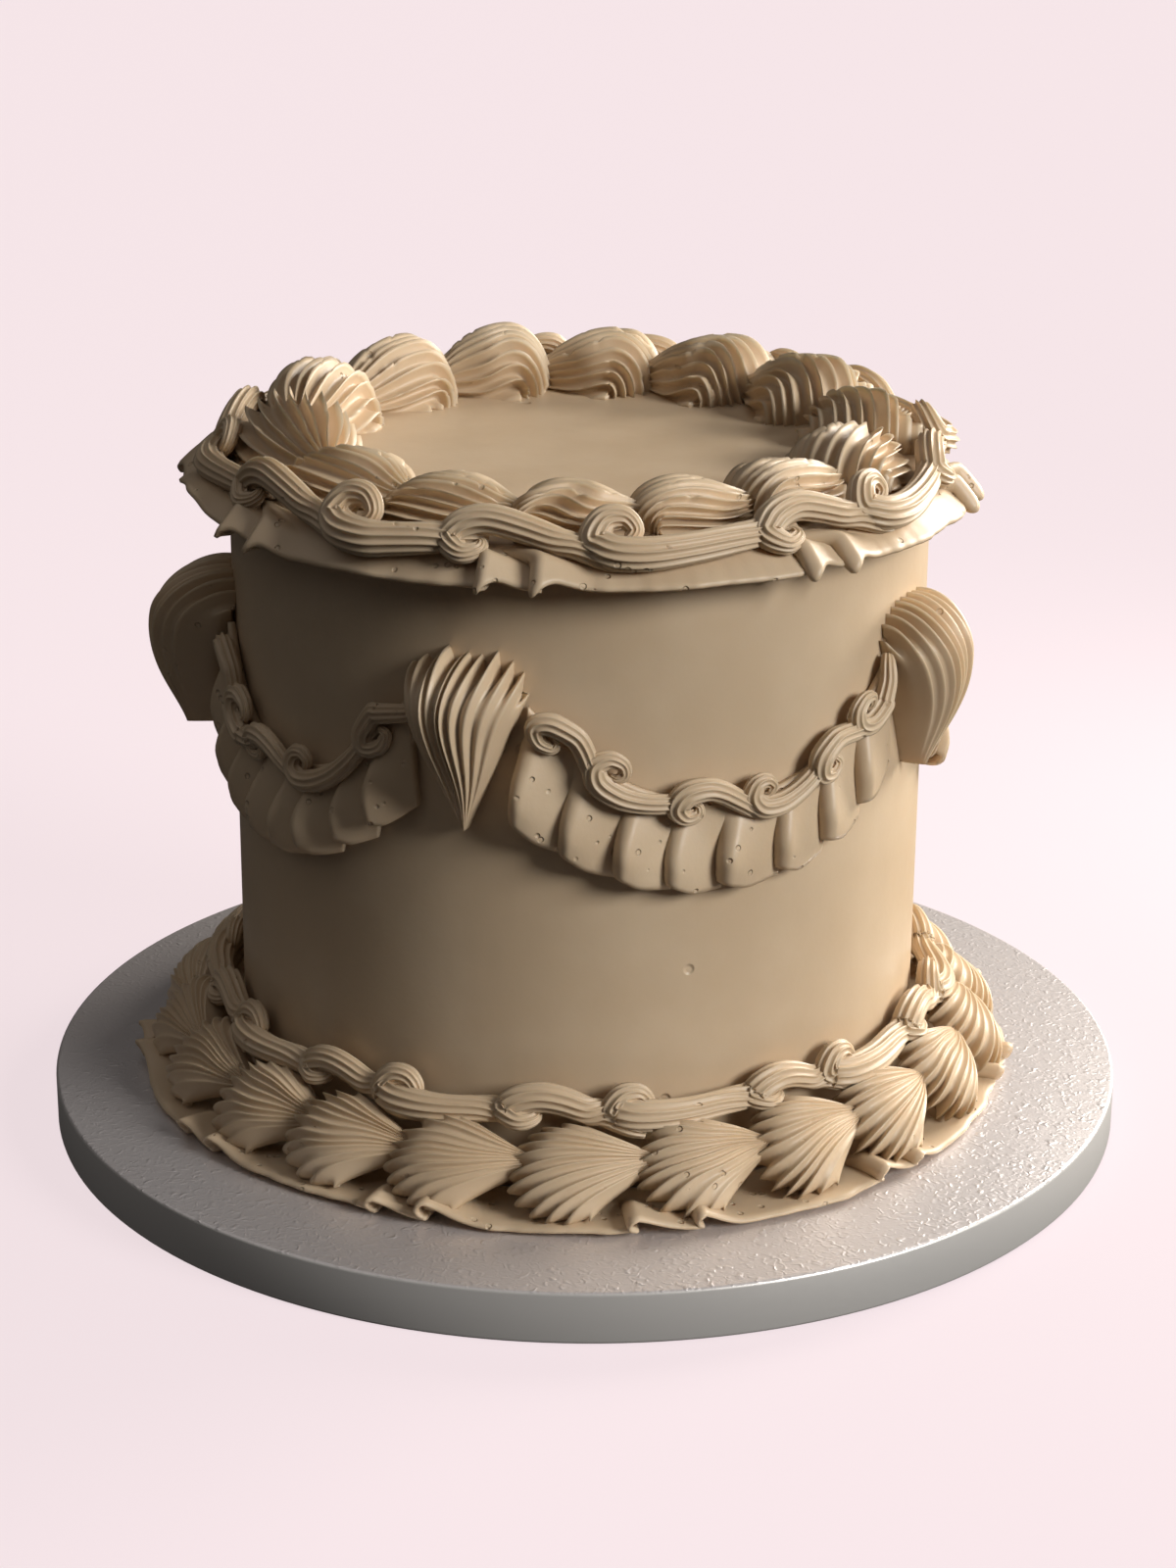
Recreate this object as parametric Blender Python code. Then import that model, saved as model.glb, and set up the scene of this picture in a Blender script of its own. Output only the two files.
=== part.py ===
"""A tall single-tier celebration cake on its round board, with piped buttercream.

Metres, +Z up. The origin is the middle of the board's underside and the front is -Y.
Angles are in degrees round the cake from the front, positive towards +X.
Every piped piece is a closed solid of its own, a hair's breadth clear of its neighbours.
"""

import math
import random

import bmesh
import bpy
from mathutils import Vector

MM = 0.001

# Driving dimensions: a 10 inch drum and a 6 inch cake under 4 mm of icing
BOARD_RADIUS = 127 * MM
BOARD_THICKNESS = 12 * MM
CAKE_RADIUS = 80 * MM
CAKE_HEIGHT = 147 * MM
GAP = 0.3 * MM

BOARD_SIDES = 56
CAKE_SIDES = 48
CAKE_TOP_ROUND = 2.5 * MM

# The cake was set down a little left of the board's middle
CAKE_SHIFT = -2 * MM

# Heights that the piping is set out from
CAKE_FOOT = BOARD_THICKNESS + GAP
CAKE_TOP = BOARD_THICKNESS + CAKE_HEIGHT
WALL = CAKE_RADIUS + GAP

# Top border: large shells on the rim, flatter at the front, each the angle of its eye and its height
TOP_SHELLS = (
    (-51, 9.6 * MM),
    (-25.5, 8.8 * MM),
    (-2.5, 8.6 * MM),
    (19.5, 8.5 * MM),
    (42, 9.2 * MM),
    (67, 11.5 * MM),
    (95, 12.9 * MM),
    (122, 14.3 * MM),
    (148, 14.6 * MM),
    (173, 14.0 * MM),
    (197, 15.2 * MM),
    (221, 15.0 * MM),
    (249, 15.4 * MM),
    (279, 15.4 * MM),
)
TOP_SHELL_RING = 64.2 * MM
TOP_SHELL_HALF_WIDTH = 14 * MM
TOP_SHELL_NOSE = 11 * MM
TOP_SHELL_TEETH = 6
TOP_SHELL_TAPER = (0.5, 0.45)

# Base border: smaller shells that fan out over the foot of the wall
BASE_SHELL_COUNT = 22
BASE_SHELL_FIRST = -2.0
BASE_SHELL_UNEVEN = 0.7
BASE_SHELL_INNER = (80.7 * MM, 15 * MM)
BASE_SHELL_OUTER = (96.2 * MM, 2.6 * MM)
BASE_SHELL_BULGE = 7.4 * MM
BASE_SHELL_NOSE = 9 * MM
BASE_SHELL_TEETH = 5
BASE_SHELL_TAPER = (0.45, 0.6)

# Five large shells hang point down where the swags meet
DROP_SHELL_ANGLES = (-84, -16.5, 65, 135, 206)
DROP_SHELL_EYE = BOARD_THICKNESS + 109 * MM
DROP_SHELL_HALF_WIDTH = 12.5 * MM
DROP_SHELL_HEIGHT = 15.5 * MM
DROP_SHELL_NOSE = 14 * MM
DROP_SHELL_TAIL = 25.5 * MM
DROP_SHELL_TEETH = 7
DROP_SHELL_TAPER = (0.1, 0.22)

# Swags between the drop shells
SWAG_END = 9.5
SWAG_LOW = BOARD_THICKNESS + 89.5 * MM
SWAG_RISE = 22 * MM
SWAG_CURLS = (
    (13.4, 20.5, 27, 39, 53.6),
    (13.4, 21.5, 34, 45.5, 57.5, 66),
    (13.4, 22, 34, 46, 57),
    (13.4, 23, 33, 45, 56),
    (13.4, 22, 35, 46, 57),
)
SWAG_CURL_SIZE = 2.5 * MM
SWAG_ROPE = 2.6 * MM
SWAG_PLEATS = (6, 8, 7, 7, 7)
SWAG_SHOULDER = 7.6 * MM
SWAG_DROP = 17.5 * MM
SWAG_END_DROP = 22 * MM
SWAG_STAND = 4.6 * MM
FRILL_THICKNESS = 1.3 * MM
FRILL_SPLAY = 1.5

# Top and base ruffles, whose folds come in pairs
TOP_FOLD_PAIRS = 8
TOP_FOLD_FIRST = -11.0
BASE_FOLD_PAIRS = 11
BASE_FOLD_FIRST = -20.0
FOLD_SPREAD = 3.4
RUFFLE_ROOT = 80.9 * MM
TOP_RUFFLE_REACH = 89.6 * MM
TOP_RUFFLE_ROOT = CAKE_TOP - 2.6 * MM
TOP_RUFFLE_EDGE = BOARD_THICKNESS + 140 * MM
BASE_RUFFLE_REACH = 103.6 * MM
RUFFLE_THICKNESS = 1.7 * MM

# Scrolls: strokes that each start in a curl and trail into the next
TOP_CURL_ANGLES = (-57, -33, -14.5, 6.4, 31.5, 50.5, 76, 96, 121, 142, 167, 188, 212, 233, 257, 279)
TOP_CURL_SIZE = 3.3 * MM
TOP_ROPE = 3.3 * MM
TOP_SCROLL_RING = (82 * MM, CAKE_TOP - 0.3 * MM)
TOP_SCROLL_LEANS = (64, 23)
BASE_CURL_ANGLES = (
    -76, -60, -41.3, -26, -6.7, 9.3, 30.6, 44.9, 66, 82, 102, 118, 138, 154, 174, 190, 210, 226, 247, 264
)
BASE_CURL_SIZE = 3.1 * MM
BASE_ROPE = 3.1 * MM
BASE_SCROLL_RING = (82.6 * MM, BOARD_THICKNESS + 18.9 * MM)
BASE_SCROLL_LEANS = (70, 8)
SCROLL_SIDES = 5
RIDGE_DEPTH = 0.13
CORNER_SHARPNESS = 1.6 * MM
SEAM_WELDS = (0.25 * MM, 0.2 * MM, 0.15 * MM, 0.1 * MM, 0.05 * MM, 0.02 * MM)


def ring_point(radius, angle, height):
    """A point at an angle in degrees from the front."""
    turn = math.radians(angle)
    return Vector((radius * math.sin(turn), -radius * math.cos(turn), height))


def make_material(name, colour, roughness, metallic=0.0):
    """A Principled BSDF finish."""
    material = bpy.data.materials.new(name)
    material.use_nodes = True
    shader = material.node_tree.nodes["Principled BSDF"]
    shader.inputs["Base Color"].default_value = (*colour, 1.0)
    shader.inputs["Roughness"].default_value = roughness
    shader.inputs["Metallic"].default_value = metallic
    return material


def add_object(name, mesh, material, turn=0.0):
    """Links a mesh as an object, set on the cake's upright axis and turned about it."""
    mesh.materials.append(material)
    item = bpy.data.objects.new(name, mesh)
    item.location = (CAKE_SHIFT, 0.0, 0.0)
    item.rotation_euler = (0.0, 0.0, math.radians(turn))
    bpy.context.scene.collection.objects.link(item)
    return item


def skin(name, loops, ring=False):
    """A closed mesh over loops of equal length: joined end to end when ring is set, else capped."""
    bm = bmesh.new()
    rows = [[bm.verts.new(point) for point in loop] for loop in loops]
    count = len(rows[0])
    pairs = list(zip(rows, rows[1:])) + ([(rows[-1], rows[0])] if ring else [])
    for near, far in pairs:
        for i in range(count):
            j = (i + 1) % count
            bm.faces.new((near[i], near[j], far[j], far[i]))
    if not ring:
        bm.faces.new(rows[0])
        bm.faces.new(rows[-1])
    bmesh.ops.remove_doubles(bm, verts=bm.verts, dist=2e-6)
    bmesh.ops.triangulate(bm, faces=[f for f in bm.faces if len(f.verts) > 4])
    bmesh.ops.recalc_face_normals(bm, faces=bm.faces)
    mesh = bpy.data.meshes.new(name)
    bm.to_mesh(mesh)
    bm.free()
    return mesh


def blend(low, high, share):
    """The value that lies share of the way from low to high."""
    return low + (high - low) * share


def ellipse_reach(flat, tall, turn):
    """The radius of an ellipse at an angle from its flat axis."""
    return 1 / math.hypot(math.cos(turn) / flat, math.sin(turn) / tall)


def ridge(step, depth):
    """Crests on the even steps of a section and grooves on the odd ones."""
    return 1.0 - depth * (step % 2)


def shell_sections(half_width, height, nose, tail, teeth, lift, taper, head_turns, tail_shares):
    """Sections of a piped shell as lists of (along, across, up).

    The head turns about a line across the shell, so that its ridges curl round an eye at
    each side. Behind that line the shell narrows to taper of its size over the tail.
    """
    steps = 2 * teeth
    sections = []
    for turn in (math.radians(degrees) for degrees in head_turns):
        reach = ellipse_reach(nose, height, abs(turn))
        section = []
        for step in range(steps + 1):
            phi = math.pi * step / steps
            size = ridge(step, RIDGE_DEPTH)
            out = reach * size * math.sin(phi)
            across = half_width * size * math.cos(phi)
            section.append((-out * math.cos(turn), across, lift + out * math.sin(turn)))
        sections.append((0.0, 1.0, section))
    for share in tail_shares:
        width_share = blend(1.0, taper[0], share**1.5)
        height_share = blend(1.0, taper[1], share**1.4)
        section = []
        for step in range(steps + 1):
            phi = math.pi * step / steps
            size = ridge(step, RIDGE_DEPTH)
            across = half_width * width_share * size * math.cos(phi)
            up = lift + height * height_share * size * math.sin(phi)
            section.append((tail * share, across, up))
        sections.append((tail * share, width_share, section))
    return sections


def top_shell(name, angle, height, turn_to_next, material):
    """One rim shell, lying on the cake's top with its tail towards the next shell."""
    pitch = TOP_SHELL_RING * math.radians(turn_to_next)
    half_width = TOP_SHELL_HALF_WIDTH
    sections = shell_sections(
        half_width=half_width,
        height=height,
        nose=TOP_SHELL_NOSE,
        tail=pitch - TOP_SHELL_NOSE - GAP,
        teeth=TOP_SHELL_TEETH,
        lift=0.8 * MM,
        taper=TOP_SHELL_TAPER,
        head_turns=(-8, 42),
        tail_shares=(0.0, 0.5, 1.0),
    )
    floor = CAKE_TOP + GAP
    loops = []
    for along, share, section in sections:
        foot = half_width * share * 0.97
        section = section + [(along, -foot, 0.0), (along, foot, 0.0)]
        loops.append(
            [
                ring_point(TOP_SHELL_RING + y, math.degrees(x / TOP_SHELL_RING), floor + max(z, 0.0))
                for x, y, z in section
            ]
        )
    return add_object(name, skin(name, loops), material, angle)


def base_shell(name, angle, turn_to_next, material):
    """One foot shell, leaning on the wall with its fan spread over the ruffle."""
    inner, outer = Vector(BASE_SHELL_INNER), Vector(BASE_SHELL_OUTER)
    middle = (inner + outer) / 2
    spread = (outer - inner).normalized()
    away = Vector((-spread.y, spread.x))
    ring = middle.x
    floor = RUFFLE_THICKNESS + GAP
    pitch = ring * math.radians(turn_to_next)
    half_width = (outer - inner).length / 2
    sections = shell_sections(
        half_width=half_width,
        height=BASE_SHELL_BULGE,
        nose=BASE_SHELL_NOSE,
        tail=pitch - BASE_SHELL_NOSE - GAP,
        teeth=BASE_SHELL_TEETH,
        lift=0.0,
        taper=BASE_SHELL_TAPER,
        head_turns=(-4, 42),
        tail_shares=(0.0, 0.55, 1.0),
    )
    loops = []
    for along, share, section in sections:
        loop = []
        for x, y, z in section:
            place = middle + spread * y + away * z
            loop.append((x, max(place.x, WALL), max(place.y, floor)))
        upper = middle - spread * half_width * share
        lower = middle + spread * half_width * share
        loop += [(along, WALL, upper.y), (along, WALL, floor), (along, lower.x, floor)]
        loops.append(
            [ring_point(r, math.degrees(x / ring), BOARD_THICKNESS + GAP + z) for x, r, z in loop]
        )
    return add_object(name, skin(name, loops), material, angle)


def drop_shell(name, angle, material):
    """One large shell on the wall, head up and point down, over the ends of two swags."""
    sections = shell_sections(
        half_width=DROP_SHELL_HALF_WIDTH,
        height=DROP_SHELL_HEIGHT,
        nose=DROP_SHELL_NOSE,
        tail=DROP_SHELL_TAIL,
        teeth=DROP_SHELL_TEETH,
        lift=1.6 * MM,
        taper=DROP_SHELL_TAPER,
        head_turns=(-6, 42),
        tail_shares=(0.0, 0.35, 0.7, 1.0),
    )
    loops = []
    for along, share, section in sections:
        foot = DROP_SHELL_HALF_WIDTH * share * 0.96
        section = section + [(along, -foot, 0.0), (along, 0.0, 0.0), (along, foot, 0.0)]
        loops.append(
            [
                ring_point(WALL + max(z, 0.0), math.degrees(y / CAKE_RADIUS), DROP_SHELL_EYE - x)
                for x, y, z in section
            ]
        )
    return add_object(name, skin(name, loops), material, angle)


def fold_stations(first, pairs, between):
    """Angles round a ruffle with, at each, how far it is folded up, 0 to 1."""
    stations = []
    pitch = 360 / pairs
    for pair in range(pairs):
        centre = first + pair * pitch
        for side in (-1, 1):
            peak = centre + side * FOLD_SPREAD
            stations += [(peak - 1.7, 0.0), (peak, 1.0), (peak + 1.2, 0.15)]
        for i in range(between):
            stations.append((centre + pitch * blend(0.5, (i + 1) / (between + 1), 0.6), 0.08))
    return sorted(stations)


def top_ruffle_edge(angle):
    """Radius and height of the top ruffle's free edge, wavy as piped by hand."""
    turn = math.radians(angle)
    lifted = math.exp(-(((angle + 81) / 13) ** 2))
    radius = TOP_RUFFLE_REACH + 0.8 * MM * math.sin(3 * turn + 0.8) + 1.4 * MM * lifted
    height = TOP_RUFFLE_EDGE + 0.6 * MM * math.sin(2 * turn + 1.0) + 5 * MM * lifted
    return radius, height


def top_ruffle(material):
    """The brim under the top scroll: a thin ribbon that leans out and down from the rim."""
    loops = []
    for angle, folded in fold_stations(TOP_FOLD_FIRST, TOP_FOLD_PAIRS, 2):
        radius, height = top_ruffle_edge((angle + 180) % 360 - 180)
        radius += 1.0 * MM * folded
        height -= 1.3 * MM * (1 - folded)
        middle = blend(RUFFLE_ROOT, radius, 0.5)
        middle_height = blend(TOP_RUFFLE_ROOT, height, 0.55) + 0.3 * MM
        loops.append(
            [
                ring_point(RUFFLE_ROOT, angle, TOP_RUFFLE_ROOT),
                ring_point(middle, angle, middle_height),
                ring_point(radius, angle, height),
                ring_point(middle, angle, middle_height - RUFFLE_THICKNESS),
                ring_point(RUFFLE_ROOT, angle, TOP_RUFFLE_ROOT - 2.6 * MM),
            ]
        )
    return add_object("top_ruffle", skin("top_ruffle", loops, ring=True), material)


def base_ruffle(material):
    """The ribbon that lies on the board under the foot shells, with its margin folded up."""
    floor = BOARD_THICKNESS + GAP
    flat = BASE_SHELL_OUTER[0] + 1.8 * MM
    loops = []
    for angle, folded in fold_stations(BASE_FOLD_FIRST, BASE_FOLD_PAIRS, 1):
        turn = math.radians(angle)
        radius = BASE_RUFFLE_REACH + 1.1 * MM * math.sin(4 * turn) + 0.8 * MM * folded
        lift = 3.4 * MM * folded
        loops.append(
            [
                ring_point(RUFFLE_ROOT, angle, floor + RUFFLE_THICKNESS),
                ring_point(flat, angle, floor + RUFFLE_THICKNESS),
                ring_point(radius, angle, floor + 0.5 * RUFFLE_THICKNESS + lift),
                ring_point(flat, angle, floor),
                ring_point(RUFFLE_ROOT, angle, floor),
            ]
        )
    return add_object("base_ruffle", skin("base_ruffle", loops, ring=True), material)


def corner_chart(ring, height, leans):
    """A chart of a band that runs round the cake in the corner between two slopes.

    It takes (along, up, off): metres round the band, metres up across it, and metres off it.
    The leans are how far the band slopes outwards below and above its middle, in degrees.
    """
    below, above = (math.radians(lean) for lean in leans)

    def lean(up):
        return blend(below, above, 0.5 + 0.5 * math.tanh(up / CORNER_SHARPNESS))

    def place(along, up, off):
        steps = 8
        r = ring
        z = height
        for i in range(steps):
            slope = lean(up * (i + 0.5) / steps)
            r -= math.sin(slope) * up / steps
            z += math.cos(slope) * up / steps
        slope = lean(up)
        r += math.cos(slope) * off
        z += math.sin(slope) * off
        return ring_point(r, math.degrees(along / ring), z)

    return place


def swag_height(angle, start, end):
    """The height of a swag's upper line, which hangs between two drop shells."""
    share = abs(2 * (angle - start) / (end - start) - 1)
    return SWAG_LOW + SWAG_RISE * share**2.2


def swag_chart(start, end):
    """A chart of the wall along one swag: (angle, metres up across the line, metres off the wall)."""

    def place(angle, up, off):
        rise = (swag_height(angle + 0.5, start, end) - swag_height(angle - 0.5, start, end)) / (
            CAKE_RADIUS * math.radians(1.0)
        )
        length = math.hypot(1.0, rise)
        turned = angle + math.degrees(-up * rise / length / CAKE_RADIUS)
        return ring_point(WALL + off, turned, swag_height(angle, start, end) + up / length)

    return place


def tube(name, chart, stations):
    """A tapering tube through chart places (along, up, off, radius), as one closed mesh."""
    centres = [chart(along, up, off) for along, up, off, _ in stations]
    loops = []
    for i, (along, up, off, radius) in enumerate(stations):
        before = centres[max(i - 1, 0)]
        after = centres[min(i + 1, len(centres) - 1)]
        forward = (after - before).normalized()
        outward = chart(along, up, off + MM) - centres[i]
        side = forward.cross(outward).normalized()
        outward = side.cross(forward).normalized()
        loops.append(
            [
                centres[i]
                + side * (radius * math.cos(corner))
                + outward * (radius * math.sin(corner))
                for corner in (
                    2 * math.pi * (k + 0.25) / SCROLL_SIDES for k in range(SCROLL_SIDES)
                )
            ]
        )
    return skin(name, loops)


def stroke_stations(start, length, sign, curl, thick, per_metre=1.0, foot=0.2 * MM):
    """Places along one stroke: a curl of radius curl above the line (sign 1) or below it (-1),
    then a rope of half-thickness thick that trails off under the next curl."""
    stations = []
    for turn in (70, 125, 180, 235):
        bend = math.radians(turn)
        radius = 0.94 * curl
        along = start + curl * math.cos(bend) * per_metre
        up = sign * (curl * 0.75 + curl * math.sin(bend))
        stations.append((along, up, radius * 1.05 + foot, radius))
    tail = length - 0.55 * curl
    for share, rise in ((0.3, -0.35), (0.68, -0.25), (1.0, 0.1)):
        radius = thick * blend(1.0, 0.64, share)
        along = start + tail * share * per_metre
        stations.append((along, sign * rise * curl, radius * 1.1 + foot, radius))
    return stations


def tidy_seams(mesh):
    """Welds the slivers that a union leaves along its seams, as far as the skin stays whole."""
    for reach in SEAM_WELDS:
        bm = bmesh.new()
        bm.from_mesh(mesh)
        bmesh.ops.triangulate(bm, faces=bm.faces)
        bmesh.ops.remove_doubles(bm, verts=bm.verts, dist=reach)
        bmesh.ops.dissolve_degenerate(bm, edges=bm.edges, dist=reach / 10)
        loose = [edge for edge in bm.edges if not edge.link_faces]
        bmesh.ops.delete(bm, geom=loose, context="EDGES")
        whole = all(len(edge.link_faces) == 2 for edge in bm.edges)
        if whole:
            bm.to_mesh(mesh)
        bm.free()
        if whole:
            return


def joined(name, meshes, material):
    """One solid from strokes that lie over each other."""
    helpers = bpy.data.collections.new(name + "_strokes")
    bpy.context.scene.collection.children.link(helpers)
    item = add_object(name, meshes[0], material)
    for mesh in meshes[1:]:
        helper = bpy.data.objects.new(mesh.name, mesh)
        helper.location = item.location
        helpers.objects.link(helper)
    union = item.modifiers.new("Join strokes", "BOOLEAN")
    union.operation = "UNION"
    union.solver = "MANIFOLD"
    union.operand_type = "COLLECTION"
    union.collection = helpers
    graph = bpy.context.evaluated_depsgraph_get()
    whole = bpy.data.meshes.new_from_object(item.evaluated_get(graph))
    item.modifiers.clear()
    item.data = whole
    tidy_seams(whole)
    for helper in list(helpers.objects):
        bpy.data.objects.remove(helper)
    bpy.data.collections.remove(helpers)
    return item


def ring_scroll(name, place, leans, angles, curl, thick, material):
    """A scroll right round the cake, its curls hanging below and standing above by turns."""
    ring, height = place
    chart = corner_chart(ring, height, leans)
    meshes = []
    for i, angle in enumerate(angles):
        following = angles[i + 1] if i + 1 < len(angles) else angles[0] + 360
        start = math.radians(angle) * ring
        length = math.radians(following - angle) * ring
        sign = -1 if i % 2 == 0 else 1
        stations = stroke_stations(start, length, sign, curl, thick)
        meshes.append(tube(f"{name}_stroke_{i + 1:02d}", chart, stations))
    return joined(name, meshes, material)


def swag_scroll(name, start, end, curls, material):
    """The rope along a swag, with its curls by turns below and above the line."""
    chart = swag_chart(start, end)
    per_metre = math.degrees(1 / CAKE_RADIUS)
    meshes = []
    for i, angle in enumerate(curls):
        following = curls[i + 1] if i + 1 < len(curls) else end - 2
        length = math.radians(following - angle) * CAKE_RADIUS
        sign = -1 if i % 2 == 0 else 1
        stations = stroke_stations(
            angle, length, sign, SWAG_CURL_SIZE, SWAG_ROPE, per_metre, foot=1.9 * MM
        )
        meshes.append(tube(f"{name}_stroke_{i + 1}", chart, stations))
    return joined(name, meshes, material)


def swag_ruffle(name, start, end, pleats, material):
    """The pleated frill under a swag's rope: each pleat stands proud on one side and slopes back."""
    uneven = random.Random(name)
    widths = [uneven.uniform(0.86, 1.14) for _ in range(pleats)]
    lines = []
    begun = 0.0
    for width in widths:
        stand = uneven.uniform(0.85, 1.1)
        for share, proud, step in ((0.0, stand, 1.0), (0.55, 0.6 * stand, 0.3), (0.88, 0.0, 0.6)):
            lines.append(((begun + share * width) / sum(widths), proud, step))
        begun += width
    lines.append((1.0, 0.3, 0.0))
    loops = []
    for share, proud, step in lines:
        angle = blend(start, end, share)
        splay = FRILL_SPLAY * (2 * share - 1)
        behind = splay + step * math.degrees(FRILL_THICKNESS / WALL)
        top = swag_height(angle, start, end) - 0.4 * MM
        drop = blend(SWAG_DROP, SWAG_END_DROP, (2 * share - 1) ** 2)
        face = WALL + FRILL_THICKNESS + 0.2 * MM
        hem = face + 0.4 * MM + SWAG_STAND * proud
        back = max(hem - FRILL_THICKNESS, WALL + 0.2 * MM)
        loops.append(
            [
                ring_point(face, angle, top),
                ring_point(face + 0.2 * MM, angle, top - SWAG_SHOULDER),
                ring_point(hem, angle + splay, top - drop),
                ring_point(back, angle + behind, top - drop),
                ring_point(WALL + 0.2 * MM, angle, top - SWAG_SHOULDER),
                ring_point(WALL + 0.2 * MM, angle, top),
            ]
        )
    return add_object(name, skin(name, loops), material)


def board(material):
    """The drum, with its foil-covered edges just rounded."""
    bpy.ops.mesh.primitive_cylinder_add(
        vertices=BOARD_SIDES,
        radius=BOARD_RADIUS,
        depth=BOARD_THICKNESS,
        location=(0.0, 0.0, BOARD_THICKNESS / 2),
        rotation=(0.0, 0.0, 0.0),
    )
    item = bpy.context.active_object
    item.name = "board"
    item.data.materials.append(material)
    edge = item.modifiers.new("Rounded rim", "BEVEL")
    edge.width = 0.9 * MM
    edge.segments = 1
    edge.limit_method = "ANGLE"
    edge.angle_limit = math.radians(40)
    return item


def cake(material):
    """The iced cake: an upright cylinder with a softened top edge."""
    profile = [(CAKE_RADIUS, CAKE_FOOT)]
    for degrees in (0, 45, 90):
        turn = math.radians(degrees)
        profile.append(
            (
                CAKE_RADIUS - CAKE_TOP_ROUND * (1 - math.cos(turn)),
                CAKE_TOP - CAKE_TOP_ROUND * (1 - math.sin(turn)),
            )
        )
    loops = [
        [ring_point(radius, 360 * i / CAKE_SIDES, height) for i in range(CAKE_SIDES)]
        for radius, height in profile
    ]
    return add_object("cake", skin("cake", loops), material)


def main():
    for item in list(bpy.data.objects):
        bpy.data.objects.remove(item)
    random.seed(7)
    foil = make_material("board_foil", (0.62, 0.60, 0.60), 0.38, 0.85)
    coat = make_material("smooth_buttercream", (0.56, 0.43, 0.28), 0.5)
    piped = make_material("piped_buttercream", (0.60, 0.46, 0.30), 0.45)

    board(foil)
    cake(coat)

    count = len(TOP_SHELLS)
    for i, (angle, height) in enumerate(TOP_SHELLS):
        following = TOP_SHELLS[i + 1][0] if i + 1 < count else TOP_SHELLS[0][0] + 360
        top_shell(f"top_shell_{i + 1:02d}", angle, height, following - angle, piped)

    pitch = 360 / BASE_SHELL_COUNT
    starts = [
        BASE_SHELL_FIRST + i * pitch + random.uniform(-BASE_SHELL_UNEVEN, BASE_SHELL_UNEVEN)
        for i in range(BASE_SHELL_COUNT)
    ]
    starts.append(starts[0] + 360)
    for i in range(BASE_SHELL_COUNT):
        base_shell(f"base_shell_{i + 1:02d}", starts[i], starts[i + 1] - starts[i], piped)

    top_ruffle(piped)
    base_ruffle(piped)

    ring_scroll(
        "top_scroll", TOP_SCROLL_RING, TOP_SCROLL_LEANS, TOP_CURL_ANGLES, TOP_CURL_SIZE, TOP_ROPE, piped
    )
    ring_scroll(
        "base_scroll", BASE_SCROLL_RING, BASE_SCROLL_LEANS, BASE_CURL_ANGLES, BASE_CURL_SIZE, BASE_ROPE, piped
    )

    swags = len(DROP_SHELL_ANGLES)
    for i, angle in enumerate(DROP_SHELL_ANGLES):
        drop_shell(f"drop_shell_{i + 1}", angle, piped)
        following = DROP_SHELL_ANGLES[i + 1] if i + 1 < swags else DROP_SHELL_ANGLES[0] + 360
        start, end = angle + SWAG_END, following - SWAG_END
        swag_ruffle(f"swag_ruffle_{i + 1}", start, end, SWAG_PLEATS[i], piped)
        curls = [angle + turn for turn in SWAG_CURLS[i]]
        swag_scroll(f"swag_scroll_{i + 1}", start, end, curls, piped)


main()
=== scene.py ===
import math

import bpy
import numpy as np
from mathutils import Matrix


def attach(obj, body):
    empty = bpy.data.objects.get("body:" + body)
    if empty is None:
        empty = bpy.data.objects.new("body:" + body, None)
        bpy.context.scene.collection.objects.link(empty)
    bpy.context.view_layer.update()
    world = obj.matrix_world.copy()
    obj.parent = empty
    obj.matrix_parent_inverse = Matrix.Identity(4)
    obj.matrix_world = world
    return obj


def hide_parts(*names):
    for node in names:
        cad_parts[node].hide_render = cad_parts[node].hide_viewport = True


print("loading the frame")
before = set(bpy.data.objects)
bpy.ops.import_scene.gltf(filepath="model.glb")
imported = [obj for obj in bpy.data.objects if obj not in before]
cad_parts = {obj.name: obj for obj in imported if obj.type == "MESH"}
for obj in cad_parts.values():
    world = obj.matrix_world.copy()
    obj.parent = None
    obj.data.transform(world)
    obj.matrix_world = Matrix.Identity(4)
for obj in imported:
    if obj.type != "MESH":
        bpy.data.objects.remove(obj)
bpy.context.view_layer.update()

mm = 0.001
boardTop = 12.0   # all heights and radii below are in millimetres, angles in degrees from the front
cakeFoot = 12.3
cakeTop = 159.0
cakeRadius = 80.0
cakeShift = -2.0   # the cake was set down a little left of the board's middle


# ---- helpers for laying out piped forms

def aroundCake(angle, radius, height):
    turn = np.radians(angle)
    return np.stack([radius * np.sin(turn) + cakeShift, -radius * np.cos(turn), height + 0 * turn], -1) * mm


def smooth(x):
    x = np.clip(x, 0, 1)
    return x * x * (3 - 2 * x)


def wobble(seed, x, y, pace=1.0):   # soft unevenness between about -1 and 1
    dice = np.random.default_rng(seed)
    total = 0
    for i in range(6):
        a, b = dice.normal(0, pace, 2)
        total = total + np.sin(a * x + b * y + dice.uniform(0, 6.28))
    return total / 3.2


def deselectAll():
    bpy.ops.object.select_all(action="DESELECT")


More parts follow.
